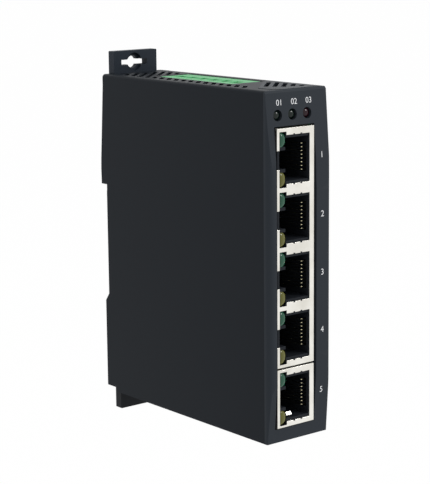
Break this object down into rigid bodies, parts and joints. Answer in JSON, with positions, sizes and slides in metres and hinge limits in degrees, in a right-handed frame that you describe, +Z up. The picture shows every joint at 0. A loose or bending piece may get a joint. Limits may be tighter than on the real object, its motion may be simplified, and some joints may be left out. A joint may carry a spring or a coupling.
{
  "type": "din rail ethernet switch",
  "caption": "Slim upright network switch for a DIN rail, with a column of modular sockets in a dark case, a green plug-in terminal block in its top and a sprung rail latch at the back.",
  "frame": {"origin": "middle of the rail seat, on the back face that rests against the DIN rail", "axes": "+Z up, -Y out of the front with the sockets, +Y towards the rail and the wall"},
  "size_m": [0.022, 0.0783, 0.111],
  "materials": {
    "housing": "fine matt powder coat, near black blue",
    "bezel": "fine moulded grain, dark slate",
    "lug": "moulded, near black",
    "spring": "bright drawn wire",
    "board": "green solder mask",
    "screw": "zinc plated",
    "chip": "black moulding compound",
    "relay": "pale moulded case",
    "can": "drawn can",
    "shield": "nickel plated sheet, satin",
    "insert": "black moulded",
    "green_lens": "clear moulded lens, unlit",
    "yellow_lens": "clear moulded lens, unlit",
    "red_lens": "clear moulded lens, unlit",
    "gold": "gold plated",
    "green_plastic": "bright green moulded",
    "tin": "tin plated"
  },
  "bodies": {
    "case": {"housing_body": "housing", "side_cover": "housing", "front_bezel": "bezel", "wall_lug": "lug", "latch_spring": "spring", "main_board": "board", "board_screws": "screw", "switch_chip": "chip", "transformers": "chip", "alarm_relay": "relay", "power_inductor": "chip", "capacitors": "can", "crystal": "can", "gang_shield": "shield", "gang_insert": "insert", "single_shield": "shield", "single_insert": "insert", "power_1_led": "green_lens", "power_2_led": "green_lens", "alarm_led": "red_lens", "led_holder": "insert", "terminal_header": "green_plastic", "header_pins": "tin", "terminal_plug": "green_plastic", "wire_clamps": "tin", "clamp_screws": "screw", "port_1_contacts": "gold", "port_1_link_led": "green_lens", "port_1_speed_led": "yellow_lens", "port_2_contacts": "gold", "port_2_link_led": "green_lens", "port_2_speed_led": "yellow_lens", "port_3_contacts": "gold", "port_3_link_led": "green_lens", "port_3_speed_led": "yellow_lens", "port_4_contacts": "gold", "port_4_link_led": "green_lens", "port_4_speed_led": "yellow_lens", "port_5_contacts": "gold", "port_5_link_led": "green_lens", "port_5_speed_led": "yellow_lens"},
    "latch": {"rail_latch": "lug"}
  },
  "joints": [
    {"name": "latch_slide", "type": "slide", "parent": "case", "child": "latch", "axis": [0, 0, -1], "range_m": [0, 0.0035], "deforming": ["latch_spring"]}
  ]
}
